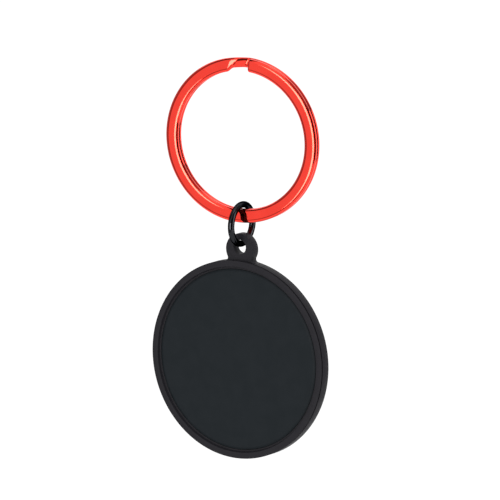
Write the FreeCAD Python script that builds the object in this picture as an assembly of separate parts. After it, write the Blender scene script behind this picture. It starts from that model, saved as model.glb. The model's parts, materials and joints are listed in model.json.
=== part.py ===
"""A bluetooth tracker tag: a thin round tag with an eye lug, hung by a jump ring from a split key ring.

Millimetres. +Z is up, the tag's face looks along -Y and +X is to its right. The origin is where the
split ring hangs from: the top of its inner circle. Everything else hangs below it.
"""

import math
import os

import FreeCAD
import Part

# ---- driving dimensions ----
# Split ring: two flat coils of one band.
RING_OUTER_R = 16.0
BAND_WIDTH = 2.6
COIL_THICK = 0.94
COIL_GAP = 0.06
SHOULDER_WIDTH = 0.8  # the band's edges fall away in quarter ellipses, this far across its width
SHOULDER_DEPTH = 0.42  # and this far through its thickness
RING_YAW = 6.64  # degrees about +Z: the ring hangs a little askew of the tag
FRONT_END_ANGLE = 85.0  # degrees from +X towards +Z, at the blunt end of the front coil
JOG_START_ANGLE = 101.0  # where the front coil starts to step back
JOG_END_ANGLE = 84.8
NECK_DEPTH = 0.6  # how far the inner edge is drawn outwards along the step
NECK_START_ANGLE = 103.5
NECK_END_ANGLE = 78.0  # where the back coil is full width again, behind the front one
NECK_EASE = 6.0  # degrees over which the neck comes and goes
BACK_END_ANGLE = 112.0
JOG_SECTIONS = 18

# Jump ring: round wire, in the plane x = 0.
WIRE_R = 0.64
JUMP_R = 3.79
BAR_TO_JUMP_CENTRE = 1.675

# Tag body.
TAG_R = 19.28
TAG_THICK = 2.8
BEZEL_THICK = 0.46
WALL = 1.0
BACK_WALL = 0.4
FRONT_EDGE_R = 0.1
BACK_EDGE_R = 0.6
PARTING_GROOVE = 0.34  # width of the shadow groove under the rim's edge
PARTING_DEPTH = 0.25

# Eye lug on the rear shell; its hole sits a little high in it.
LUG_R = 3.1
LUG_THICK = 1.8
LUG_SETBACK = 0.7  # behind the front of the rim
LUG_HOLE_R = 1.4
LUG_HOLE_RISE = 0.515
LUG_NECK_FILLET = 0.6
LUG_ABOVE_TAG = 21.4
HOLE_TOP_ABOVE_WIRE = 0.83

# Rim and recess. The face plate is the button; its flange is held under the bezel's lip.
RIM_INNER_R = 18.08
RIM_CHAMFER_R = 17.92
RIM_TOP_FILLET = 0.1
LIP_R = 17.61
LIP_DROP = 0.15  # below the face
LIP_THICK = 0.12
FACE_R = 17.55
FACE_RECESS = 0.42
FACE_THICK = 0.35
FACE_BEVEL_WIDTH = 0.4  # down to the level of the lip
FLANGE_R = 18.0
FLANGE_WIDTH = 1.4
FLANGE_THICK = 0.14
SEAL_THICK = 0.08
TAPE_THICK = 0.08
TAPE_IN_R = 18.5
TAPE_OUT_R = 19.0

# Sounder: a brass disc and a ceramic one on the face plate's back.
SOUNDER_R = 10.0
SOUNDER_THICK = 0.08
CERAMIC_R = 7.0
CERAMIC_THICK = 0.07
PAD_R = 0.8

# Coin cell, 20 mm by 1.2 mm, and its bay.
CELL_R = 10.0
CELL_THICK = 1.2
CELL_WALL = 0.2
CELL_STEP = 0.1  # how far the negative cap stands out of the can
CRIMP = 0.7
CAP_R = 9.05
BAY_R = 10.1
BAY_WALL_R = 12.3
BAY_LIP_R = 9.4
BAY_LIP_THICK = 0.1

# Battery door, which snaps into the back, and its seal.
DOOR_R = 11.7
DOOR_GAP = 0.1
DOOR_EDGE_R = 0.1
DOOR_TAB_ANGLES = (0, 120, 240)
DOOR_TAB_WIDTH = 3.0
DOOR_TAB_THICK = 0.25
DOOR_TAB_DEPTH = 0.6
NOTCH_R = 2.6
NOTCH_DEPTH = 0.2
GROOVE_IN_R = 10.55
GROOVE_OUT_R = 11.15
GROOVE_DEPTH = 0.45
SEAL_WIRE_R = 0.21

# Circuit board, a ring round the cell, and what stands on it.
BOARD_IN_R = 12.6
BOARD_OUT_R = 18.0
BOARD_THICK = 0.4
BOARD_FRONT_Y = -0.15
TRACK_R = 15.4  # middle of the board's ring
SCREW_ANGLES = (30, 150, 270)
POST_R = 1.0
SCREW_SHANK_R = 0.45
SCREW_HEAD_R = 0.9
SCREW_HEAD_THICK = 0.3
SCREW_SLOT = 0.25
DOME_ANGLES = (90, 210, 330)
DOME_R = 1.8
DOME_TOP_R = 0.9
DOME_HEIGHT = 0.2
CHIP_LENGTH = 1.0
CHIP_ROW_STAGGER = 1.1
CAPACITOR_ANGLES = range(44, 74, 5)
RESISTOR_ANGLES = range(318, 343, 5)

# Contact leaves.
LEAF_THICK = 0.1
STRIP_WIDTH = 2.6
CHANNEL_WIDTH = 3.2
NEGATIVE_ANGLE = 60
POSITIVE_ANGLE = 285
SOUNDER_SPRING_ANGLES = (120, 180)
SOUNDER_SPRING_WIDTH = 1.2
BLADE_HEIGHT = 0.5

# Gaps.
RUNNING_GAP = 0.05
TOUCH_GAP = 0.01

# ---- places worked out from them ----
FRONT_Y = -TAG_THICK / 2
BACK_Y = TAG_THICK / 2
SPLIT_Y = FRONT_Y + BEZEL_THICK  # the plane where bezel and shell meet
INSIDE_Y = BACK_Y - BACK_WALL
WALL_IN_R = TAG_R - WALL
RING_INNER_R = RING_OUTER_R - BAND_WIDTH
RING_MEAN_R = (RING_OUTER_R + RING_INNER_R) / 2
RING_Z = -RING_INNER_R
BAR_Z = RING_Z - RING_MEAN_R
JUMP_Z = BAR_Z - BAR_TO_JUMP_CENTRE
LINK_Z = JUMP_Z - JUMP_R  # centre of the wire where it passes through the lug
HOLE_Z = LINK_Z + HOLE_TOP_ABOVE_WIRE - LUG_HOLE_R
LUG_Z = HOLE_Z - LUG_HOLE_RISE
TAG_Z = LUG_Z - LUG_ABOVE_TAG
LUG_FRONT_Y = FRONT_Y + LUG_SETBACK
LUG_BACK_Y = LUG_FRONT_Y + LUG_THICK
FACE_Y = FRONT_Y + FACE_RECESS
FACE_BACK_Y = FACE_Y + FACE_THICK
LIP_Y = FACE_Y + LIP_DROP
LIP_BACK_Y = LIP_Y + LIP_THICK
FLANGE_Y = LIP_BACK_Y + SEAL_THICK + TOUCH_GAP
BOARD_BACK_Y = BOARD_FRONT_Y + BOARD_THICK
DOME_TOP_Y = BOARD_FRONT_Y - DOME_HEIGHT
CELL_BACK_Y = INSIDE_Y - TOUCH_GAP
CELL_FRONT_Y = CELL_BACK_Y - CELL_THICK
BAY_FRONT_Y = CELL_FRONT_Y - TOUCH_GAP - BAY_LIP_THICK
SCREW_TIP_Y = INSIDE_Y - 0.15
BLADE_TIP_Y = BOARD_BACK_Y + BLADE_HEIGHT
Y_AXIS = FreeCAD.Vector(0, 1, 0)
TAG_CENTRE = FreeCAD.Vector(0, 0, TAG_Z)
RING_CENTRE = FreeCAD.Vector(0, 0, RING_Z)
BEYOND = 1.0  # how far a cutting tool runs past what it cuts


# ---- helpers ----
def turned(profile, centre=TAG_CENTRE):
    """A solid of revolution about +Y through centre, from (radius, y) points in order."""
    points = [FreeCAD.Vector(centre.x + r, y, centre.z) for r, y in profile]
    face = Part.Face(Part.makePolygon(points + points[:1]))
    return face.revolve(centre, Y_AXIS, 360)


def washer(inner_r, outer_r, y_low, y_high):
    """A flat ring about the tag's centre; inner_r of 0 gives a disc."""
    return turned([(inner_r, y_low), (outer_r, y_low), (outer_r, y_high), (inner_r, y_high)])


def peg(radius, x, z, y_low, y_high):
    """A round peg along +Y."""
    return Part.makeCylinder(radius, y_high - y_low, FreeCAD.Vector(x, y_low, z), Y_AXIS)


def at_angle(radius, degrees):
    """The x and z of a point at a radius and angle on the tag."""
    turn = math.radians(degrees)
    return radius * math.cos(turn), TAG_Z + radius * math.sin(turn)


def block(radius, degrees, radial, across, y_low, y_high):
    """A box on the tag whose sides run along the radius and across it, centred at a radius and angle."""
    corner = FreeCAD.Vector(radius - radial / 2, y_low, TAG_Z - across / 2)
    box = Part.makeBox(radial, y_high - y_low, across, corner)
    # Turning about -Y takes +X towards +Z.
    box.rotate(TAG_CENTRE, FreeCAD.Vector(0, -1, 0), degrees)
    return box


def circles(shape, radius, y):
    """The edges of a shape that are circles of a radius about the tag's axis, at a height y."""

    def wanted(edge):
        round_edge = isinstance(edge.Curve, Part.Circle) and abs(edge.Curve.Radius - radius) < 0.01
        return round_edge and abs(edge.CenterOfMass.y - y) < 0.01

    return [edge for edge in shape.Edges if wanted(edge)]


# ---- split ring ----
def band_section(degrees, y_middle, neck=0.0):
    """The band's section, standing across the ring at an angle, as a wire; neck draws in its inner edge."""
    turn = math.radians(degrees)
    outward = FreeCAD.Vector(math.cos(turn), 0, math.sin(turn))
    middle = RING_CENTRE + outward * (RING_MEAN_R + neck / 2) + Y_AXIS * y_middle
    half_width = (BAND_WIDTH - neck) / 2
    half_thick = COIL_THICK / 2

    def place(along, deep):
        return middle + outward * along + Y_AXIS * deep

    def on_side(side, face):
        return place(side * half_width, face * (half_thick - SHOULDER_DEPTH))

    def on_face(side, face):
        return place(side * (half_width - SHOULDER_WIDTH), face * half_thick)

    def shoulder(side, face):
        centre = place(side * (half_width - SHOULDER_WIDTH), face * (half_thick - SHOULDER_DEPTH))
        return Part.Ellipse(on_side(side, face), on_face(side, face), centre).toShape(0, math.pi / 2)

    return Part.Wire(
        [
            shoulder(1, 1),
            Part.LineSegment(on_face(1, 1), on_face(-1, 1)).toShape(),
            shoulder(-1, 1),
            Part.LineSegment(on_side(-1, 1), on_side(-1, -1)).toShape(),
            shoulder(-1, -1),
            Part.LineSegment(on_face(-1, -1), on_face(1, -1)).toShape(),
            shoulder(1, -1),
            Part.LineSegment(on_side(1, -1), on_side(1, 1)).toShape(),
        ]
    )


def coil(start_angle, sweep, y_middle):
    """A flat stretch of the band, running clockwise seen from the front."""
    face = Part.Face(band_section(start_angle, y_middle))
    return face.revolve(RING_CENTRE, Y_AXIS, sweep)


def eased(share):
    """Rises smoothly from 0 to 1 as share does."""
    share = min(max(share, 0), 1)
    return share * share * (3 - 2 * share)


def jog(y_front, y_back):
    """The step from the front coil to the back one: it starts gently, ends quickly and is a little necked."""
    sections = []
    for step in range(JOG_SECTIONS):
        angle = NECK_START_ANGLE + (NECK_END_ANGLE - NECK_START_ANGLE) * step / (JOG_SECTIONS - 1)
        moved = min(max((JOG_START_ANGLE - angle) / (JOG_START_ANGLE - JOG_END_ANGLE), 0), 1)
        back = 1 - (1 - moved * moved) ** 1.5
        drawn = eased((NECK_START_ANGLE - angle) / NECK_EASE) * eased((angle - NECK_END_ANGLE) / NECK_EASE)
        sections.append(band_section(angle, y_front + (y_back - y_front) * back, NECK_DEPTH * drawn))
    return Part.makeLoft(sections, True, False)


def split_ring():
    y_front = -(COIL_THICK + COIL_GAP) / 2
    y_back = -y_front
    front = coil(FRONT_END_ANGLE, 360 - (NECK_START_ANGLE - FRONT_END_ANGLE), y_front)
    back = coil(NECK_END_ANGLE, 360 - (BACK_END_ANGLE - NECK_END_ANGLE), y_back)
    ring = front.fuse([jog(y_front, y_back), back])
    ring.rotate(FreeCAD.Vector(0, 0, 0), FreeCAD.Vector(0, 0, 1), RING_YAW)
    return ring


def jump_ring():
    return Part.makeTorus(JUMP_R, WIRE_R, FreeCAD.Vector(0, 0, JUMP_Z), FreeCAD.Vector(1, 0, 0))


# ---- tag shells ----
def front_bezel():
    """The raised rim: flat on top, chamfered down to the thin lip that holds the face plate."""
    step_r = WALL_IN_R - RUNNING_GAP
    bezel = turned(
        [
            (TAG_R - PARTING_DEPTH, SPLIT_Y),
            (TAG_R - PARTING_DEPTH, SPLIT_Y - PARTING_GROOVE),
            (TAG_R, SPLIT_Y - PARTING_GROOVE),
            (TAG_R, FRONT_Y),
            (RIM_INNER_R, FRONT_Y),
            (RIM_CHAMFER_R, LIP_Y),
            (LIP_R, LIP_Y),
            (LIP_R, LIP_BACK_Y),
            (step_r, LIP_BACK_Y),
            (step_r, SPLIT_Y),
        ]
    )
    bezel = bezel.makeFillet(FRONT_EDGE_R, circles(bezel, TAG_R, FRONT_Y))
    return bezel.makeFillet(RIM_TOP_FILLET, circles(bezel, RIM_INNER_R, FRONT_Y))


def bezel_adhesive():
    return washer(TAPE_IN_R, TAPE_OUT_R, SPLIT_Y, SPLIT_Y + TAPE_THICK)


def face_seal():
    return washer(LIP_R + RUNNING_GAP, FLANGE_R - RUNNING_GAP, LIP_BACK_Y, LIP_BACK_Y + SEAL_THICK)


def lug():
    """The eye above the tag, run into it, with its neck rounded where it meets the round body."""
    root_r = TAG_R - WALL / 2
    eye = peg(LUG_R, 0, LUG_Z, LUG_FRONT_Y, LUG_BACK_Y)
    root = washer(root_r, TAG_R, LUG_FRONT_Y, LUG_BACK_Y)
    blank = eye.cut(washer(0, root_r, LUG_FRONT_Y, LUG_BACK_Y)).fuse(root).removeSplitter()
    necks = [edge for edge in blank.Edges if is_neck(edge)]
    rounded = blank.makeFillet(LUG_NECK_FILLET, necks)
    return rounded.cut(peg(LUG_HOLE_R, 0, HOLE_Z, LUG_FRONT_Y - BEYOND, LUG_BACK_Y + BEYOND))


def is_neck(edge):
    """Whether an edge is the line where the eye's side meets the round body."""
    across = abs(edge.Length - LUG_THICK) < 0.01
    return across and abs(edge.CenterOfMass.x) > 1 and edge.CenterOfMass.z > TAG_Z


def rear_shell():
    """Side wall, back and lug in one, with the cell's bay and the screw posts inside."""
    cup = washer(0, TAG_R, SPLIT_Y, BACK_Y)
    cup = cup.makeFillet(BACK_EDGE_R, circles(cup, TAG_R, BACK_Y))
    shell = cup.fuse(lug())
    hollows = [
        washer(BAY_WALL_R, WALL_IN_R, SPLIT_Y - BEYOND, INSIDE_Y),
        washer(0, BAY_WALL_R + RUNNING_GAP, SPLIT_Y - BEYOND, BAY_FRONT_Y),
        washer(0, BAY_LIP_R, SPLIT_Y - BEYOND, BACK_Y + BEYOND),
        washer(0, BAY_R, BAY_FRONT_Y + BAY_LIP_THICK, BACK_Y + BEYOND),
        washer(0, DOOR_R + DOOR_GAP, INSIDE_Y, BACK_Y + BEYOND),
        washer(GROOVE_IN_R, GROOVE_OUT_R, INSIDE_Y - GROOVE_DEPTH, INSIDE_Y + RUNNING_GAP),
        washer(TAPE_IN_R - RUNNING_GAP, TAPE_OUT_R + RUNNING_GAP, SPLIT_Y - BEYOND, SPLIT_Y + TAPE_THICK),
        pry_notch(),
        contact_channel(NEGATIVE_ANGLE, SPLIT_Y - BEYOND, CELL_FRONT_Y),
        contact_channel(POSITIVE_ANGLE, BOARD_BACK_Y - RUNNING_GAP, BLADE_TIP_Y + RUNNING_GAP),
    ]
    hollows += [door_tab(angle, RUNNING_GAP) for angle in DOOR_TAB_ANGLES]
    shell = shell.cut(hollows[0].multiFuse(hollows[1:]))
    posts = [screw_post(angle) for angle in SCREW_ANGLES]
    return shell.fuse(posts).removeSplitter()


def pry_notch():
    """A half-moon cut in the back, beside the door's lower edge, for a fingernail or coin."""
    return peg(NOTCH_R, 0, TAG_Z - DOOR_R, BACK_Y - NOTCH_DEPTH, BACK_Y + BEYOND)


def contact_channel(angle, y_low, y_high):
    """A slot through the wall of the cell's bay for a contact leaf."""
    length = BAY_WALL_R - BAY_LIP_R + BEYOND
    return block((BAY_LIP_R + BAY_WALL_R) / 2, angle, length, CHANNEL_WIDTH, y_low, y_high)


def screw_post(angle):
    x, z = at_angle(TRACK_R, angle)
    post = peg(POST_R, x, z, BOARD_BACK_Y, INSIDE_Y)
    return post.cut(peg(SCREW_SHANK_R + TOUCH_GAP, x, z, BOARD_BACK_Y, SCREW_TIP_Y + RUNNING_GAP))


# ---- battery door ----
def door_tab(angle, spare):
    """A straight friction tab under the door's edge, or its slot when spare is given."""
    middle_r = DOOR_R - RUNNING_GAP - DOOR_TAB_THICK / 2
    thick = DOOR_TAB_THICK + 2 * spare
    width = DOOR_TAB_WIDTH + 2 * spare
    return block(middle_r, angle, thick, width, INSIDE_Y - DOOR_TAB_DEPTH - spare, INSIDE_Y)


def battery_door():
    door = washer(0, DOOR_R, INSIDE_Y, BACK_Y)
    door = door.makeFillet(DOOR_EDGE_R, circles(door, DOOR_R, BACK_Y))
    return door.fuse([door_tab(angle, 0) for angle in DOOR_TAB_ANGLES]).removeSplitter()


def door_seal():
    middle_r = (GROOVE_IN_R + GROOVE_OUT_R) / 2
    middle_y = INSIDE_Y - GROOVE_DEPTH + SEAL_WIRE_R + TOUCH_GAP
    return Part.makeTorus(middle_r, SEAL_WIRE_R, FreeCAD.Vector(0, middle_y, TAG_Z), Y_AXIS)


# ---- face plate and sounder ----
def face_plate():
    bevel_r = FACE_R - FACE_BEVEL_WIDTH
    plate = turned([(0, FACE_Y), (bevel_r, FACE_Y), (FACE_R, LIP_Y), (FACE_R, FACE_BACK_Y), (0, FACE_BACK_Y)])
    flange = washer(FLANGE_R - FLANGE_WIDTH, FLANGE_R, FLANGE_Y, FLANGE_Y + FLANGE_THICK)
    return plate.fuse(flange).removeSplitter()


def sounder_plate():
    return washer(0, SOUNDER_R, FACE_BACK_Y, FACE_BACK_Y + SOUNDER_THICK)


def sounder_ceramic():
    y_front = FACE_BACK_Y + SOUNDER_THICK
    return washer(0, CERAMIC_R, y_front, y_front + CERAMIC_THICK)


def press_pads():
    """One pad on the plate's back over each dome."""
    places = [at_angle(TRACK_R, angle) for angle in DOME_ANGLES]
    return Part.makeCompound([peg(PAD_R, x, z, FACE_BACK_Y, DOME_TOP_Y - TOUCH_GAP) for x, z in places])


# ---- coin cell ----
def coin_cell_can():
    """The positive can: a cup open to the front, with its mouth crimped inwards."""
    front_y = CELL_FRONT_Y + CELL_STEP
    can = washer(0, CELL_R, front_y, CELL_BACK_Y)
    can = can.makeFillet(CELL_WALL, circles(can, CELL_R, CELL_BACK_Y) + circles(can, CELL_R, front_y))
    can = can.cut(washer(0, CELL_R - CELL_WALL, front_y + CELL_WALL, CELL_BACK_Y - CELL_WALL))
    return can.cut(washer(0, CELL_R - CRIMP, front_y - BEYOND, front_y + CELL_WALL + TOUCH_GAP))


def coin_cell_gasket():
    """Nylon between can and cap: a wall inside the can and a lip that shows round the cap."""
    front_y = CELL_FRONT_Y + CELL_STEP / 2
    under_crimp_y = CELL_FRONT_Y + CELL_STEP + CELL_WALL
    wall = washer(CAP_R, CELL_R - CELL_WALL, under_crimp_y, CELL_BACK_Y - CELL_WALL)
    lip = washer(CAP_R, CELL_R - CRIMP, front_y, under_crimp_y)
    return wall.fuse(lip).removeSplitter()


def coin_cell_cap():
    """The negative cap: a shallow dish let into the gasket."""
    back_y = CELL_FRONT_Y + CELL_THICK / 2
    dish = washer(0, CAP_R, CELL_FRONT_Y, back_y)
    dish = dish.makeFillet(CELL_WALL / 2, circles(dish, CAP_R, CELL_FRONT_Y))
    return dish.cut(washer(0, CAP_R - CELL_WALL, CELL_FRONT_Y + CELL_WALL, back_y))


def coin_cell_core():
    return washer(0, CAP_R - CELL_WALL, CELL_FRONT_Y + CELL_WALL, CELL_BACK_Y - CELL_WALL)


# ---- circuit board ----
def circuit_board():
    board = washer(BOARD_IN_R, BOARD_OUT_R, BOARD_FRONT_Y, BOARD_BACK_Y)
    for angle in SCREW_ANGLES:
        x, z = at_angle(TRACK_R, angle)
        hole = peg(SCREW_SHANK_R + RUNNING_GAP, x, z, BOARD_FRONT_Y - BEYOND, BOARD_BACK_Y + BEYOND)
        board = board.cut(hole)
    return board


def board_screws():
    screws = []
    head_y = BOARD_FRONT_Y - SCREW_HEAD_THICK
    for angle in SCREW_ANGLES:
        x, z = at_angle(TRACK_R, angle)
        head = peg(SCREW_HEAD_R, x, z, head_y, BOARD_FRONT_Y)
        shank = peg(SCREW_SHANK_R, x, z, BOARD_FRONT_Y, SCREW_TIP_Y)
        slot = block(TRACK_R, angle, 2 * SCREW_HEAD_R, SCREW_SLOT, head_y - BEYOND, head_y + SCREW_SLOT / 2)
        screws.append(head.fuse(shank).cut(slot))
    return Part.makeCompound(screws)


def dome_switches():
    """Three low metal domes on the board's front."""
    profile = [(0, DOME_TOP_Y), (DOME_TOP_R, DOME_TOP_Y), (DOME_R, BOARD_FRONT_Y), (0, BOARD_FRONT_Y)]
    places = [at_angle(TRACK_R, angle) for angle in DOME_ANGLES]
    return Part.makeCompound([turned(profile, FreeCAD.Vector(x, 0, z)) for x, z in places])


def chip(angle, radial, across, height, radius=TRACK_R):
    """A component on the board's back."""
    return block(radius, angle, radial, across, BOARD_BACK_Y, BOARD_BACK_Y + height)


def chip_row(angles, height):
    """Small components in two staggered rows."""
    chips = []
    for step, angle in enumerate(angles):
        stagger = CHIP_ROW_STAGGER if step % 2 else -CHIP_ROW_STAGGER
        chips.append(chip(angle, CHIP_LENGTH / 2, CHIP_LENGTH, height, TRACK_R + stagger))
    return Part.makeCompound(chips)


# ---- contacts ----
def negative_contact():
    """A leaf from the board over the cell's negative cap."""
    y_front = CELL_FRONT_Y - LEAF_THICK
    outer_r = BOARD_IN_R + STRIP_WIDTH / 2
    strip = block(outer_r / 2, NEGATIVE_ANGLE, outer_r, STRIP_WIDTH, y_front, CELL_FRONT_Y)
    foot = block(outer_r - 0.5, NEGATIVE_ANGLE, 1.0, STRIP_WIDTH, y_front, BOARD_FRONT_Y)
    tip = peg(STRIP_WIDTH * 0.6, 0, TAG_Z, y_front, CELL_FRONT_Y)
    return strip.fuse([foot, tip]).removeSplitter()


def positive_contact():
    """A bent leaf on the board's back that bears on the side of the can."""
    inner_r = CELL_R + TOUCH_GAP
    outer_r = BOARD_IN_R + STRIP_WIDTH / 2
    middle_r = (inner_r + outer_r) / 2
    arm_y = BOARD_BACK_Y + LEAF_THICK
    arm = block(middle_r, POSITIVE_ANGLE, outer_r - inner_r, STRIP_WIDTH, BOARD_BACK_Y, arm_y)
    blade_r = inner_r + LEAF_THICK / 2
    blade = block(blade_r, POSITIVE_ANGLE, LEAF_THICK, STRIP_WIDTH, BOARD_BACK_Y, BLADE_TIP_Y)
    return arm.fuse(blade).removeSplitter()


def sounder_springs():
    """Two leaves on the board's front that reach in to the back of the sounder's plate."""
    width = SOUNDER_SPRING_WIDTH
    tip_y = FACE_BACK_Y + SOUNDER_THICK + TOUCH_GAP
    reach_r = SOUNDER_R - width
    foot_r = BOARD_IN_R + LEAF_THICK
    springs = []
    for angle in SOUNDER_SPRING_ANGLES:
        foot = block(foot_r + width / 2, angle, width, width, BOARD_FRONT_Y - LEAF_THICK, BOARD_FRONT_Y)
        riser = block(foot_r + LEAF_THICK / 2, angle, LEAF_THICK, width, tip_y, BOARD_FRONT_Y)
        arm = block((reach_r + foot_r) / 2, angle, foot_r - reach_r, width, tip_y, tip_y + LEAF_THICK)
        springs.append(foot.fuse([riser, arm]).removeSplitter())
    return Part.makeCompound(springs)


# Board components: angle round the board, then size along the radius, across it and in height.
CHIPS = {
    "bluetooth_chip": (0, 3.6, 3.6, 0.6),
    "main_crystal": (15, 1.6, 2.0, 0.5),
    "clock_crystal": (-14, 1.0, 1.6, 0.45),
    "chip_antenna": (90, 2.0, 5.2, 0.6),
    "boost_inductor": (208, 2.0, 2.5, 0.65),
    "sounder_driver": (194, 2.0, 2.0, 0.55),
    "reservoir_capacitor": (176, 1.6, 3.2, 0.65),
}

NODES = {
    "split_ring": split_ring,
    "jump_ring": jump_ring,
    "front_bezel": front_bezel,
    "bezel_adhesive": bezel_adhesive,
    "face_seal": face_seal,
    "rear_shell": rear_shell,
    "battery_door": battery_door,
    "door_seal": door_seal,
    "face_plate": face_plate,
    "sounder_plate": sounder_plate,
    "sounder_ceramic": sounder_ceramic,
    "press_pads": press_pads,
    "coin_cell_can": coin_cell_can,
    "coin_cell_gasket": coin_cell_gasket,
    "coin_cell_cap": coin_cell_cap,
    "coin_cell_core": coin_cell_core,
    "circuit_board": circuit_board,
    "board_screws": board_screws,
    "dome_switches": dome_switches,
    "chip_capacitors": lambda: chip_row(CAPACITOR_ANGLES, 0.5),
    "chip_resistors": lambda: chip_row(RESISTOR_ANGLES, 0.35),
    "negative_contact": negative_contact,
    "positive_contact": positive_contact,
    "sounder_springs": sounder_springs,
}

os.makedirs("parts", exist_ok=True)
shapes = {node: make() for node, make in NODES.items()}
shapes.update({node: chip(*sizes) for node, sizes in CHIPS.items()})
for node, shape in shapes.items():
    shape.exportStep("parts/" + node + ".step")
    print(f"{node}: {len(shape.Solids)} solid(s), {shape.Volume:.2f} mm3, valid {shape.isValid()}")
print(f"bar {BAR_Z:.3f}, link {LINK_Z:.3f}, hole {HOLE_Z:.3f}, tag centre {TAG_Z:.3f}, back {BACK_Y:.3f}")
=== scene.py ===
"""The looks of a bluetooth tracker tag hung from a split key ring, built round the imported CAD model.

Metres, in the CAD model's frame: +Z is up, the tag's face looks along -Y, and the origin is the top of
the split ring's inner circle.
"""

import json
import math

import bmesh
import bpy
import numpy as np
from mathutils import Matrix, Vector


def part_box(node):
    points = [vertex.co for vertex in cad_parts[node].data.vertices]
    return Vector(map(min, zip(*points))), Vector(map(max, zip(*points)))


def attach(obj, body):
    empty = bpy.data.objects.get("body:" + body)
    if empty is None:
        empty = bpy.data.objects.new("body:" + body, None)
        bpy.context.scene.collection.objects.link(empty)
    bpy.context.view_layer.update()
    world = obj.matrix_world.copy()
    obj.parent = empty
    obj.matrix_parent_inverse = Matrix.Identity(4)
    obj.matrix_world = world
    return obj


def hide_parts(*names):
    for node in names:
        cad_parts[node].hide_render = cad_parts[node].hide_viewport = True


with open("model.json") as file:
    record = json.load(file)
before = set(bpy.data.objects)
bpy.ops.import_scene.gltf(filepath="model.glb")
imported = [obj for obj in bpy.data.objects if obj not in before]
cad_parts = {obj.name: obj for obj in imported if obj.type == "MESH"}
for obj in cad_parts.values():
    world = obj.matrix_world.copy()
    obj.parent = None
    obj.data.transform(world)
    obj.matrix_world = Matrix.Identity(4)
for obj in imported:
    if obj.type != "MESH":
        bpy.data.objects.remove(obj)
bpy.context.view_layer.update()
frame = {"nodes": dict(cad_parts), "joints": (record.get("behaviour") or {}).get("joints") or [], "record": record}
JOINTS = {joint["name"]: joint for joint in frame["joints"]}
MM = 0.001

# ---- sizes read from the frame ----
RING_LOW, RING_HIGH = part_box("split_ring")
JUMP_LOW, JUMP_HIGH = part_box("jump_ring")
BEZEL_LOW, BEZEL_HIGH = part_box("front_bezel")
FACE_LOW, FACE_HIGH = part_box("face_plate")

RING_OUTER_R = (RING_HIGH.z - RING_LOW.z) / 2
RING_CENTRE = Vector((0, 0, (RING_HIGH.z + RING_LOW.z) / 2))
RING_AXIS = JOINTS["link_swing"]["axis"]
RING_YAW = math.atan2(RING_AXIS[1], RING_AXIS[0])
WIRE_R = (JUMP_HIGH.x - JUMP_LOW.x) / 2
JUMP_R = (JUMP_HIGH.z - JUMP_LOW.z) / 2 - WIRE_R
JUMP_CENTRE = Vector((0, 0, (JUMP_HIGH.z + JUMP_LOW.z) / 2))
BEZEL_THICK = 0.46 * MM  # along Y, at the bezel's outer edge
TAG_R = BEZEL_HIGH.x
TAG_CENTRE = Vector((0, 0, (BEZEL_HIGH.z + BEZEL_LOW.z) / 2))
FRONT_Y = BEZEL_LOW.y
SPLIT_Y = BEZEL_LOW.y + BEZEL_THICK
FACE_Y = FACE_LOW.y

# ---- sizes of details ----
BAND_WIDTH = 2.6 * MM
COIL_THICK = 0.94 * MM
COIL_GAP = 0.06 * MM
SHOULDER_WIDTH = 0.8 * MM  # the band's edges fall away in quarter ellipses
SHOULDER_DEPTH = 0.42 * MM

# angles round the split ring, in degrees from +X towards +Z
FRONT_END = 85.0  # the blunt end of the front coil
JOG_START = 101.0  # the middle of the band starts to step back here
JOG_END = 87.8  # and has reached the back coil's plane here
JOG_SKEW = 3.0  # the band's inner edge steps back this much sooner, its outer edge later
JOG_EASE = 1.2  # a power: the higher it is, the softer the step's end
NECK_START = 103.5  # the inner edge is drawn outwards from here
NECK_END = 78.0  # and is back in its circle here
NECK_EASE = 6.0  # each of the two changes takes this many degrees
BACK_END = 112.0  # the hidden end of the back coil
STATION_STEP = 0.4  # from one section of the band to the next
NECK_DEPTH = 0.6 * MM
END_SOFTENING = 0.4 * MM  # radius at the coils' blunt ends
END_NARROWING = 1.5  # the ends narrow this much faster than they thin

JUMP_JOINT = 0.35  # degrees from the middle of the jump ring's butt joint to each end
WIRE_SOFTENING = 0.08 * MM  # the wire is this much thinner, in radius, at its two ends

RIM_INNER_R = 18.08 * MM
RIM_CHAMFER_R = 17.92 * MM
LIP_R = 17.61 * MM
LIP_DROP = 0.15 * MM
LIP_THICK = 0.12 * MM
STEP_WIDTH = 1.05 * MM  # from the tag's edge inwards to the bezel's step
FACE_R = 17.55 * MM
FACE_THICK = 0.35 * MM
FACE_BEVEL_WIDTH = 0.4 * MM
FLANGE_R = 18.0 * MM
FLANGE_WIDTH = 1.4 * MM
FLANGE_GAP = 0.09 * MM  # between the bezel's lip and the face plate's flange
PARTING_GROOVE = 0.34 * MM  # width of the shadow groove under the rim's edge
PARTING_DEPTH = 0.25 * MM

# radii of rounded edges
GROOVE_EDGE = 0.02 * MM
RIM_OUTER_EDGE = 0.1 * MM
RIM_INNER_EDGE = 0.08 * MM
RIM_FOOT = 0.04 * MM
LIP_EDGE = 0.03 * MM
FACE_CREST = 0.5 * MM
FACE_EDGE = 0.05 * MM
FLANGE_EDGE = 0.03 * MM

# the softened edges of the shell and door
WELD_DISTANCE = 0.001 * MM
SOFT_WIDTH = 0.06 * MM
SOFT_STEPS = 3
SOFT_ANGLE = math.radians(50)

# ---- fineness of the meshes ----
MERGE_DISTANCE = 1e-8
SHARP_ANGLE = math.radians(35)
TURNS = 720  # facets round the tag
CORNER_STEPS = 8
SHOULDER_STEPS = 14
END_STEPS = 8
JUMP_STEPS = 240
WIRE_POINTS = 40
CARD_STEPS = 12

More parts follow.
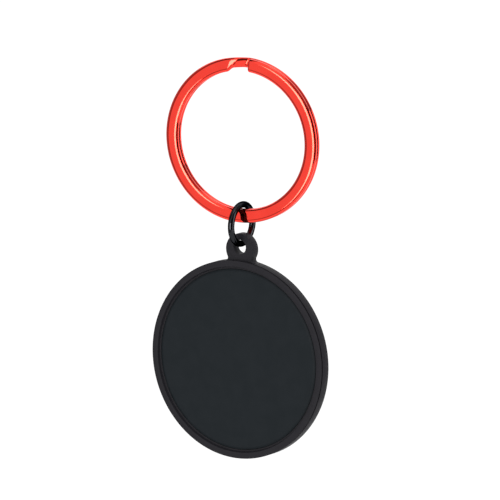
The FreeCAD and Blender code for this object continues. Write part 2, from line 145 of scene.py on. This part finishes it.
# ---- camera ----
CAMERA_AZIMUTH = math.radians(32.514)
CAMERA_ELEVATION = math.radians(10.828)
CAMERA_ROLL = math.radians(0.586)
CAMERA_DISTANCE = 2.0
CAMERA_TARGET = Vector((0, 0, -0.0373))
CAMERA_RIGHT = 1.642 * MM  # the picture's middle is this far right of the target
CAMERA_UP = 2.417 * MM  # and this far above it
PICTURE_WIDTH = 95.754 * MM  # at the target's distance
SENSOR = 36.0  # in millimetres, as the camera data has it
CLIP_NEAR = 0.05
CLIP_FAR = 50.0


def add_camera():
    """The photograph's camera, rolled a little and shifted along its picture plane."""
    turn = CAMERA_AZIMUTH
    lift = CAMERA_ELEVATION
    back = Vector((math.sin(turn) * math.cos(lift), -math.cos(turn) * math.cos(lift), math.sin(lift)))
    level_right = Vector((math.cos(turn), math.sin(turn), 0))
    level_up = back.cross(level_right)
    right = level_right * math.cos(CAMERA_ROLL) + level_up * math.sin(CAMERA_ROLL)
    up = back.cross(right)
    data = bpy.data.cameras.new("camera")
    data.sensor_width = SENSOR
    data.lens = SENSOR * CAMERA_DISTANCE / PICTURE_WIDTH
    data.clip_start = CLIP_NEAR
    data.clip_end = CLIP_FAR
    camera = bpy.data.objects.new("camera", data)
    bpy.context.scene.collection.objects.link(camera)
    place = CAMERA_TARGET + back * CAMERA_DISTANCE + right * CAMERA_RIGHT + up * CAMERA_UP
    camera.matrix_world = Matrix.Translation(place) @ Matrix((right, up, back)).transposed().to_4x4()
    bpy.context.scene.camera = camera


# ---- meshes ----
def add_piece(name, rings, material, body, nodes, capped=False):
    """A closed surface through rings of points, each joined to the next: the last to the first, or, if
    capped, both ends shut flat."""
    count = len(rings[0])
    points = [point for ring in rings for point in ring]
    faces = []
    spans = len(rings) - 1 if capped else len(rings)
    for i in range(spans):
        here, onward = i * count, (i + 1) % len(rings) * count
        for j in range(count):
            k = (j + 1) % count
            faces.append((here + j, here + k, onward + k, onward + j))
    if capped:
        faces.append(tuple(range(count)))
        faces.append(tuple(range(len(points) - count, len(points))))
    mesh = bpy.data.meshes.new(name)
    mesh.from_pydata(points, [], faces)
    shape = bmesh.new()
    shape.from_mesh(mesh)
    bmesh.ops.remove_doubles(shape, verts=shape.verts, dist=MERGE_DISTANCE)
    bmesh.ops.dissolve_degenerate(shape, edges=shape.edges, dist=MERGE_DISTANCE)
    bmesh.ops.recalc_face_normals(shape, faces=shape.faces)
    shape.to_mesh(mesh)
    shape.free()
    mesh.shade_smooth()
    mesh.set_sharp_from_angle(angle=SHARP_ANGLE)
    mesh.materials.append(material)
    piece = bpy.data.objects.new(name, mesh)
    bpy.context.scene.collection.objects.link(piece)
    even = piece.modifiers.new("even_normals", "WEIGHTED_NORMAL")
    even.keep_sharp = True
    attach(piece, body)
    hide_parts(*nodes)


def rounded(corners):
    """A closed outline with its corners rounded, from (x, y, radius) in order."""
    outline = []
    for i, (x, y, radius) in enumerate(corners):
        corner = Vector((x, y))
        before = Vector(corners[i - 1][:2]) - corner
        after = Vector(corners[(i + 1) % len(corners)][:2]) - corner
        if radius == 0:
            outline.append(tuple(corner))
            continue
        before.normalize()
        after.normalize()
        half = before.angle(after) / 2
        centre = corner + (before + after).normalized() * (radius / math.sin(half))
        first = corner + before * (radius / math.tan(half)) - centre
        last = corner + after * (radius / math.tan(half)) - centre
        sweep = first.angle_signed(last)
        for step in range(CORNER_STEPS + 1):
            turn = Matrix.Rotation(-sweep * step / CORNER_STEPS, 2)
            outline.append(tuple(centre + turn @ first))
    return outline


def turned(outline):
    """Rings of points of a solid of revolution about the tag's axis, from (radius, y) points."""
    angles = [2 * math.pi * i / TURNS for i in range(TURNS)]
    around = [(math.cos(angle), math.sin(angle)) for angle in angles]
    return [[(r * c, y, TAG_CENTRE.z + r * s) for c, s in around] for r, y in outline]


# ---- split ring ----
def band_outline(neck, inset):
    """The band's section as (outwards, back) points: flat faces, with edges that fall away in
    quarter ellipses."""
    half_width = (BAND_WIDTH - neck) / 2 - END_NARROWING * inset
    half_thick = COIL_THICK / 2 - inset
    shrink = half_thick / (COIL_THICK / 2)
    wide = SHOULDER_WIDTH * shrink
    deep = SHOULDER_DEPTH * shrink
    outline = []
    for side, face in ((1, 1), (-1, 1), (-1, -1), (1, -1)):
        centre = (side * (half_width - wide), face * (half_thick - deep))
        for step in range(SHOULDER_STEPS + 1):
            share = step / SHOULDER_STEPS if side * face > 0 else 1 - step / SHOULDER_STEPS
            turn = math.pi / 2 * share
            across = centre[0] + side * wide * math.cos(turn)
            outline.append((across, centre[1] + face * deep * math.sin(turn)))
    return outline


def eased(share):
    """A share, held between 0 and 1, made to start and end softly."""
    share = min(max(share, 0), 1)
    return share * share * (3 - 2 * share)


def split_ring_rings():
    """The band's sections from the front coil's blunt end, clockwise round to the back coil's."""
    mean_r = RING_OUTER_R - BAND_WIDTH / 2
    coil_y = (COIL_THICK + COIL_GAP) / 2
    last = BACK_END - 720
    softening = math.degrees(END_SOFTENING / mean_r)
    sweep = FRONT_END - last - 2 * softening
    stations = [(FRONT_END - softening - turn, 0) for turn in np.arange(0, sweep, STATION_STEP)]
    for step in range(END_STEPS):
        turn = math.pi / 2 * step / END_STEPS
        forward = softening * (1 - math.cos(turn))
        inset = END_SOFTENING * (1 - math.sin(turn))
        stations.insert(step, (FRONT_END - forward, inset))
        stations.insert(len(stations) - step, (last + forward, inset))
    rings = []
    for angle, inset in stations:
        past = angle + 360
        neck = NECK_DEPTH * eased((NECK_START - past) / NECK_EASE) * eased((past - NECK_END) / NECK_EASE)
        turn = math.radians(angle)
        outward = Vector((math.cos(turn), 0, math.sin(turn)))
        middle = RING_CENTRE + outward * (mean_r + neck / 2)
        ring = []
        for wide, deep in band_outline(neck, inset):
            here = past + JOG_SKEW * wide / (BAND_WIDTH / 2)
            moved = min(max((JOG_START - here) / (JOG_START - JOG_END), 0), 1)
            y = coil_y * (1 - 2 * (1 - moved * moved) ** JOG_EASE)  # from the front plane to the back one
            point = middle + outward * wide + Vector((0, y + deep, 0))
            ring.append(Matrix.Rotation(RING_YAW, 3, "Z") @ point)
        rings.append(ring)
    return rings


def jump_ring_rings():
    """The wire's sections; its two ends nearly meet at the back."""
    joint = math.radians(JUMP_JOINT)
    rings = []
    for i in range(JUMP_STEPS + 1):
        turn = joint + (2 * math.pi - 2 * joint) * i / JUMP_STEPS
        outward = Vector((0, math.cos(turn), math.sin(turn)))
        inset = WIRE_SOFTENING if i in (0, JUMP_STEPS) else 0
        radius = WIRE_R - inset
        ring = []
        for j in range(WIRE_POINTS):
            spin = 2 * math.pi * j / WIRE_POINTS
            sideways = Vector((radius * math.sin(spin), 0, 0))
            ring.append(JUMP_CENTRE + outward * (JUMP_R + radius * math.cos(spin)) + sideways)
        rings.append(ring)
    return rings


# ---- materials ----
NOISE_RANGE = (0.3, 0.7)  # nearly all of a noise texture's values, for a number it moves
TINT_RANGE = (0.35, 0.65)  # and for a colour
COAT_ROUGHNESS = 0.03

# the inner pieces' materials
PATCH = 6  # size of the colour patches, in grains
SHEEN = 3  # and of the roughness patches
LEAST_ROUGH = 0.8  # as shares of the roughness given
MOST_ROUGH = 1.15
GRAIN_DEPTH = 0.003 * MM


def new_material(name, colour, roughness, metallic=0.0, specular=0.5, coat=0.0):
    """A plain material; a texture put on its colour or roughness takes that value's place."""
    material = bpy.data.materials.new(name)
    material.use_nodes = True
    shader = material.node_tree.nodes["Principled BSDF"]
    shader.inputs["Base Color"].default_value = (*colour, 1)
    shader.inputs["Roughness"].default_value = roughness
    shader.inputs["Metallic"].default_value = metallic
    shader.inputs["Specular IOR Level"].default_value = specular
    shader.inputs["Coat Weight"].default_value = coat
    shader.inputs["Coat Roughness"].default_value = COAT_ROUGHNESS
    return material


def noise(material, size, detail=3.0, stretch=(1, 1, 1)):
    """A noise texture whose grain measures size, in metres, on the piece itself."""
    nodes, links = material.node_tree.nodes, material.node_tree.links
    place = nodes.new("ShaderNodeTexCoord")
    scaled = nodes.new("ShaderNodeMapping")
    scaled.inputs["Scale"].default_value = stretch
    texture = nodes.new("ShaderNodeTexNoise")
    texture.inputs["Scale"].default_value = 1 / size
    texture.inputs["Detail"].default_value = detail
    links.new(place.outputs["Object"], scaled.inputs["Vector"])
    links.new(scaled.outputs["Vector"], texture.inputs["Vector"])
    return texture


def vary(material, socket, texture, low, high):
    """Lets a texture move a number on the shader between low and high."""
    nodes, links = material.node_tree.nodes, material.node_tree.links
    spread = nodes.new("ShaderNodeMapRange")
    spread.inputs["From Min"].default_value = NOISE_RANGE[0]
    spread.inputs["From Max"].default_value = NOISE_RANGE[1]
    spread.inputs["To Min"].default_value = low
    spread.inputs["To Max"].default_value = high
    links.new(texture.outputs["Fac"], spread.inputs["Value"])
    links.new(spread.outputs["Result"], nodes["Principled BSDF"].inputs[socket])


def tint(material, texture, first, second):
    """Lets a texture move the colour between two."""
    nodes, links = material.node_tree.nodes, material.node_tree.links
    ramp = nodes.new("ShaderNodeValToRGB")
    for stop, position, colour in zip(ramp.color_ramp.elements, TINT_RANGE, (first, second)):
        stop.position = position
        stop.color = (*colour, 1)
    links.new(texture.outputs["Fac"], ramp.inputs["Fac"])
    links.new(ramp.outputs["Color"], nodes["Principled BSDF"].inputs["Base Color"])


def bump(material, texture, depth, coat=False):
    """Raises the surface by up to depth, in metres."""
    nodes, links = material.node_tree.nodes, material.node_tree.links
    relief = nodes.new("ShaderNodeBump")
    relief.inputs["Distance"].default_value = depth
    links.new(texture.outputs["Fac"], relief.inputs["Height"])
    links.new(relief.outputs["Normal"], nodes["Principled BSDF"].inputs["Normal"])
    if coat:
        links.new(relief.outputs["Normal"], nodes["Principled BSDF"].inputs["Coat Normal"])


def red_lacquer():
    """Clear red lacquer on bright steel."""
    material = new_material("red_lacquer", (0.97, 0.028, 0.008), 0.1, metallic=1.0, coat=0.85)
    tint(material, noise(material, 3 * MM), (0.95, 0.025, 0.006), (0.99, 0.03, 0.009))
    vary(material, "Roughness", noise(material, 1.5 * MM), 0.045, 0.065)
    bump(material, noise(material, 2.5 * MM, 0.0), 0.0006 * MM, coat=True)
    return material


def black_nickel():
    """Black plated wire."""
    material = new_material("black_nickel", (0.028, 0.029, 0.032), 0.12, metallic=1.0)
    shader = material.node_tree.nodes["Principled BSDF"]
    shader.inputs["Specular Tint"].default_value = (0.12, 0.12, 0.12, 1)  # at a grazing angle
    vary(material, "Roughness", noise(material, 0.8 * MM), 0.06, 0.08)
    bump(material, noise(material, 0.8 * MM, 1.0), 0.0003 * MM)
    return material


def satin_plastic(name, dark, light, smooth, rough, specular):
    """Black moulded plastic with a fine spark-eroded grain."""
    material = new_material(name, dark, rough, specular=specular)
    tint(material, noise(material, 2.5 * MM), dark, light)
    vary(material, "Roughness", noise(material, 0.8 * MM), smooth, rough)
    bump(material, noise(material, 0.09 * MM, 2.0), 0.006 * MM)
    return material


def inner(name, colour, roughness, metallic=0.0, grain=0.2 * MM, shade=0.85, stretch=(1, 1, 1)):
    """A material for the pieces inside: one colour, a little uneven, with a fine grain."""
    material = new_material(name, colour, roughness, metallic)
    darker = tuple(shade * channel for channel in colour)
    tint(material, noise(material, PATCH * grain, stretch=stretch), darker, colour)
    gloss = noise(material, SHEEN * grain, stretch=stretch)
    vary(material, "Roughness", gloss, roughness * LEAST_ROUGH, roughness * MOST_ROUGH)
    bump(material, noise(material, grain, stretch=stretch), GRAIN_DEPTH)
    return material


RED = red_lacquer()
BLACK_METAL = black_nickel()
SHELL_BLACK = satin_plastic(
    "shell_black", dark=(0.0163, 0.0153, 0.0191), light=(0.0179, 0.0169, 0.0209),
    smooth=0.44, rough=0.52, specular=0.08,
)
FACE_BLACK = satin_plastic(
    "face_black", dark=(0.0143, 0.018, 0.0209), light=(0.0159, 0.0196, 0.0227),
    smooth=0.42, rough=0.5, specular=0.03,
)

CAD_MATERIALS = {
    "seal": inner("silicone", (0.02, 0.02, 0.022), 0.6),
    "tape": inner("tape", (0.05, 0.05, 0.05), 0.7),
    "sounder_brass": inner("sounder_brass", (0.78, 0.58, 0.28), 0.28, metallic=1.0, stretch=(1, 1, 8)),
    "sounder_ceramic": inner("silvered_ceramic", (0.82, 0.81, 0.77), 0.35, shade=0.93),
    "cell_steel": inner("cell_steel", (0.7, 0.7, 0.71), 0.26, metallic=1.0, stretch=(1, 1, 10), shade=0.92),
    "cell_core": inner("cell_pellet", (0.1, 0.1, 0.1), 0.8),
    "board": inner("solder_mask", (0.012, 0.075, 0.03), 0.35, grain=0.5 * MM),
    "screw_steel": inner("stainless_steel", (0.62, 0.62, 0.63), 0.25, metallic=1.0),
    "chip": inner("chip_epoxy", (0.03, 0.03, 0.032), 0.5),
    "chip_light": inner("fired_ceramic", (0.52, 0.4, 0.28), 0.45),
    "crystal_can": inner("crystal_can", (0.66, 0.65, 0.62), 0.3, metallic=1.0),
    "contact_gold": inner("gold_leaf", (0.85, 0.6, 0.24), 0.22, metallic=1.0),
    "tag_shell": SHELL_BLACK,
}


# ---- stage ----
FLOOR_Z = -0.4
FLOOR_SIZE = 40.0
FLOOR_WHITE = 0.93
WORLD_STRENGTH = 1.15


def add_floor():
    """A matt pale floor."""
    material = bpy.data.materials.new("pale_floor")
    material.use_nodes = True
    shader = material.node_tree.nodes["Principled BSDF"]
    shader.inputs["Base Color"].default_value = (FLOOR_WHITE, FLOOR_WHITE, FLOOR_WHITE, 1)
    shader.inputs["Roughness"].default_value = 0.9
    shader.inputs["Specular IOR Level"].default_value = 0.0
    half = FLOOR_SIZE / 2
    mesh = bpy.data.meshes.new("floor")
    corners = [(x * half, y * half, FLOOR_Z) for x, y in ((-1, -1), (1, -1), (1, 1), (-1, 1))]
    mesh.from_pydata(corners, [], [(0, 1, 2, 3)])
    mesh.materials.append(material)
    floor = bpy.data.objects.new("floor", mesh)
    bpy.context.scene.collection.objects.link(floor)


def add_world():
    """White light from all round."""
    world = bpy.data.worlds.new("studio")
    world.use_nodes = True
    world.node_tree.nodes["Background"].inputs["Color"].default_value = (1, 1, 1, 1)
    world.node_tree.nodes["Background"].inputs["Strength"].default_value = WORLD_STRENGTH
    bpy.context.scene.world = world
    bpy.context.scene.view_settings.view_transform = "Standard"


def card(name, azimuth, spread, near, far, radiance):
    """A glowing curved card round the object, seen only in its gloss; its edges near and far are given
    as (distance, height)."""
    material = bpy.data.materials.new(name)
    material.use_nodes = True
    nodes, links = material.node_tree.nodes, material.node_tree.links
    nodes.clear()
    glow = nodes.new("ShaderNodeEmission")
    glow.inputs["Strength"].default_value = radiance
    out = nodes.new("ShaderNodeOutputMaterial")
    links.new(glow.outputs["Emission"], out.inputs["Surface"])
    points = []
    for i in range(CARD_STEPS + 1):
        turn = math.radians(azimuth - spread / 2 + spread * i / CARD_STEPS)
        for reach, height in (near, far):
            points.append((reach * math.sin(turn), -reach * math.cos(turn), height))
    faces = [(2 * i, 2 * i + 2, 2 * i + 3, 2 * i + 1) for i in range(CARD_STEPS)]
    mesh = bpy.data.meshes.new(name)
    mesh.from_pydata(points, [], faces)
    mesh.materials.append(material)
    made = bpy.data.objects.new(name, mesh)
    bpy.context.scene.collection.objects.link(made)
    made.visible_camera = False
    made.visible_diffuse = False
    made.visible_shadow = False


add_camera()
add_floor()
add_world()

CARD_FOOT = FLOOR_Z + 0.01
FLOOR_EDGE = (1.0, CARD_FOOT)
TOP_EDGE = (1.0, 0.5)
# name, azimuth and spread in degrees, near edge, far edge, radiance; the world's own light is 1.15, so a
# dim card or a flag shows as a grey or a dark patch in the gloss
CARDS = [
    ("left_dim", -98, 86, FLOOR_EDGE, TOP_EDGE, 0.5),
    ("left_flag", -43, 24, FLOOR_EDGE, TOP_EDGE, 0.3),
    ("front_fill", -22.5, 17, FLOOR_EDGE, TOP_EDGE, 0.93),
    ("front_strip", -1.5, 22, FLOOR_EDGE, (1.0, 0.15), 9.5),
    ("front_glow", -1.0, 26, (1.1, CARD_FOOT), (1.1, 0.17), 4.0),
    ("camera_flag", 44.5, 67, FLOOR_EDGE, TOP_EDGE, 0.12),
    ("right_dim", 97, 86, (1.1, CARD_FOOT), (1.1, 0.55), 0.4),
    ("right_light", 100, 24, FLOOR_EDGE, TOP_EDGE, 4.0),
    ("right_flag", 147, 14, FLOOR_EDGE, TOP_EDGE, 0.15),
    ("floor_flag", -30, 90, (0.55, CARD_FOOT), FLOOR_EDGE, 0.45),
    ("high_flag", -38, 44, TOP_EDGE, (1.0, 2.5), 0.1),
    ("high_dim", 74, 116, TOP_EDGE, (0.7, 1.3), 0.4),
    ("top_light", 28, 46, (0.8, 1.1), (0.4, 1.5), 3.0),
]
for row in CARDS:
    card(*row)

# ---- pieces ----
add_piece("split_ring_band", split_ring_rings(), RED, "key_ring", ["split_ring"], capped=True)
add_piece("jump_ring_wire", jump_ring_rings(), BLACK_METAL, "link", ["jump_ring"], capped=True)

LIP_Y = FACE_Y + LIP_DROP
STEP_R = TAG_R - STEP_WIDTH
BEZEL_OUTLINE = [
    (TAG_R - PARTING_DEPTH, SPLIT_Y, 0),
    (TAG_R - PARTING_DEPTH, SPLIT_Y - PARTING_GROOVE, 0),
    (TAG_R, SPLIT_Y - PARTING_GROOVE, GROOVE_EDGE),
    (TAG_R, FRONT_Y, RIM_OUTER_EDGE),
    (RIM_INNER_R, FRONT_Y, RIM_INNER_EDGE),
    (RIM_CHAMFER_R, LIP_Y, RIM_FOOT),
    (LIP_R, LIP_Y, LIP_EDGE),
    (LIP_R, LIP_Y + LIP_THICK, LIP_EDGE),
    (STEP_R, LIP_Y + LIP_THICK, 0),
    (STEP_R, SPLIT_Y, 0),
]
add_piece("bezel_rim", turned(rounded(BEZEL_OUTLINE)), SHELL_BLACK, "tag", ["front_bezel"])

FLANGE_Y = LIP_Y + LIP_THICK + FLANGE_GAP
FACE_OUTLINE = [
    (0, FACE_Y, 0),
    (FACE_R - FACE_BEVEL_WIDTH, FACE_Y, FACE_CREST),
    (FACE_R, LIP_Y, FACE_EDGE),
    (FACE_R, FLANGE_Y, 0),
    (FLANGE_R, FLANGE_Y, FLANGE_EDGE),
    (FLANGE_R, FACE_HIGH.y, FLANGE_EDGE),
    (FLANGE_R - FLANGE_WIDTH, FACE_HIGH.y, 0),
    (FLANGE_R - FLANGE_WIDTH, FACE_Y + FACE_THICK, 0),
    (0, FACE_Y + FACE_THICK, 0),
]
add_piece("face_disc", turned(rounded(FACE_OUTLINE)), FACE_BLACK, "face_button", ["face_plate"])

for row in frame["record"]["subparts"]:
    node = frame["nodes"][row["node"]]
    if not node.hide_render:
        node.data.materials.clear()
        node.data.materials.append(CAD_MATERIALS[row["material_slot"]])
        if row["material_slot"] == "tag_shell":
            joined = node.modifiers.new("joined_faces", "WELD")
            joined.merge_threshold = WELD_DISTANCE
            soft = node.modifiers.new("soft_edges", "BEVEL")
            soft.width = SOFT_WIDTH
            soft.segments = SOFT_STEPS
            soft.limit_method = "ANGLE"
            soft.angle_limit = SOFT_ANGLE
            soft.harden_normals = True
